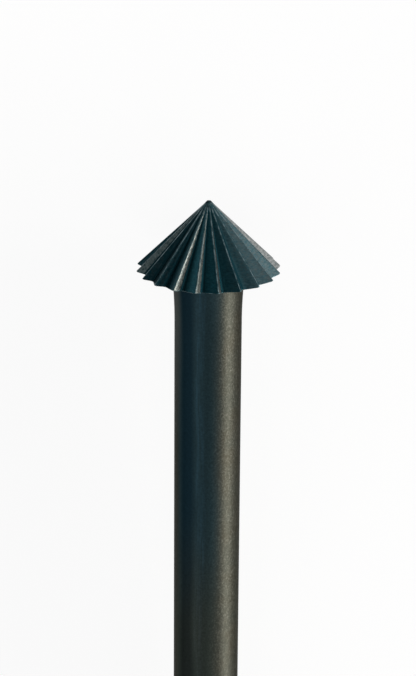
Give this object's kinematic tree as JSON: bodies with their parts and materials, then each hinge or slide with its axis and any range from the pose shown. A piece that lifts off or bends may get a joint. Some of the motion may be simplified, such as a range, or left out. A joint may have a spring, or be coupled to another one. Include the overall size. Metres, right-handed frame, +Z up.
{
  "type": "cone bur",
  "caption": "Ninety degree cone bur: a fluted cone head with saw-shaped teeth on a plain round shank, in dark blued steel.",
  "frame": {"origin": "on the surface that the lying bur rests on, under the middle of its bounding box", "axes": "+Z up; +X along the bur towards the point of its cone, in plan; the axis of the bur rises 1.8 degrees towards the point, because the head is wider than the shank"},
  "size_m": [0.044, 0.005, 0.0049],
  "materials": {
    "blued_steel": "satin"
  },
  "bodies": {
    "root": {"cone_bur": "blued_steel"}
  },
  "joints": []
}
